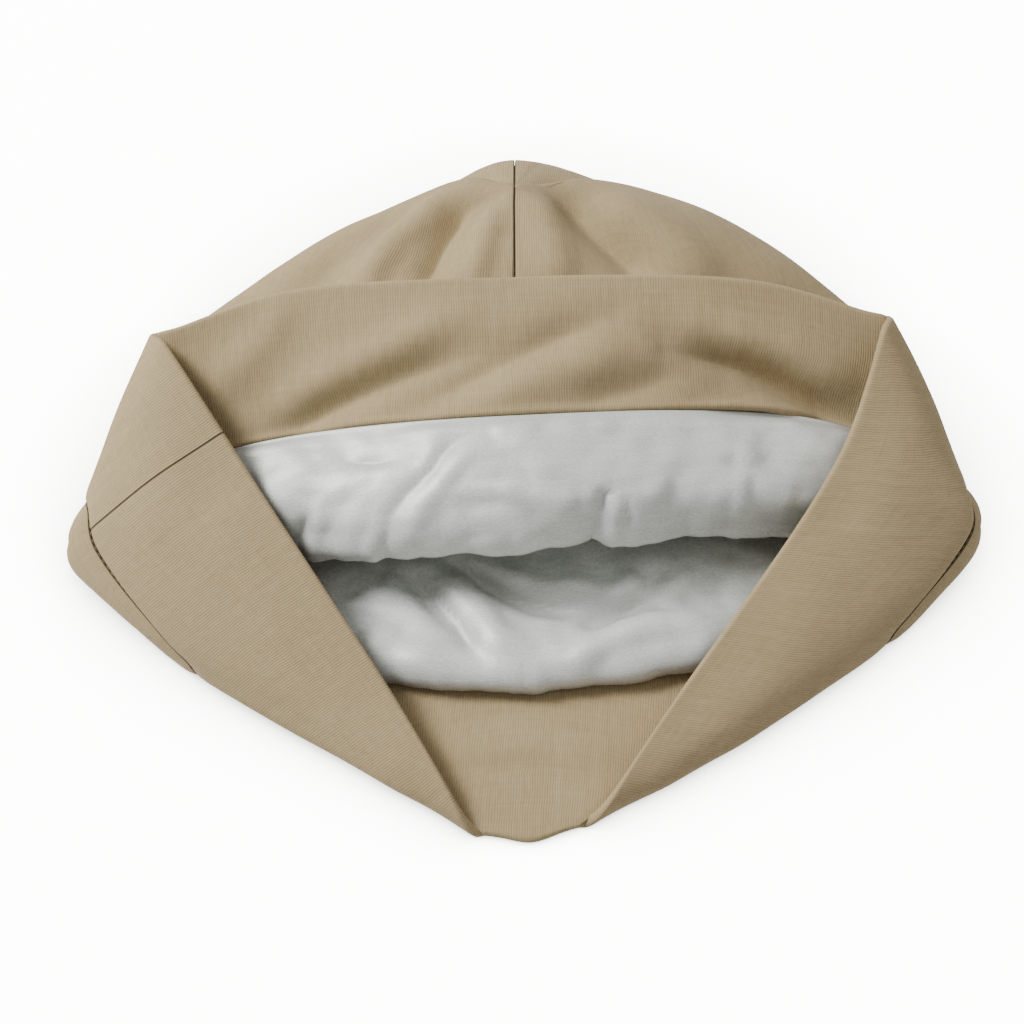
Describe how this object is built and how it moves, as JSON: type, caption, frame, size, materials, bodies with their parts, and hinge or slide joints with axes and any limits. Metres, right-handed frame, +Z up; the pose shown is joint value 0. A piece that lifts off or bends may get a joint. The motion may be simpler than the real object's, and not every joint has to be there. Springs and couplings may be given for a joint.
{
  "type": "sleep bonnet",
  "caption": "Sleep bonnet in jersey with a satin lining and a wide band, lying flat with its upper lip turned back and its sides folded in.",
  "frame": {"origin": "on the table, under the middle of the bonnet's bounding box", "axes": "+Z up from the table, +Y from the mouth towards the back of the crown, +X to the right as the bonnet is seen from its mouth"},
  "size_m": [0.2464, 0.1932, 0.0458],
  "materials": {
    "jersey": "matte",
    "satin": "satin"
  },
  "bodies": {
    "root": {"band": "jersey", "crown_left": "jersey", "crown_right": "jersey", "lining": "satin"}
  },
  "joints": []
}
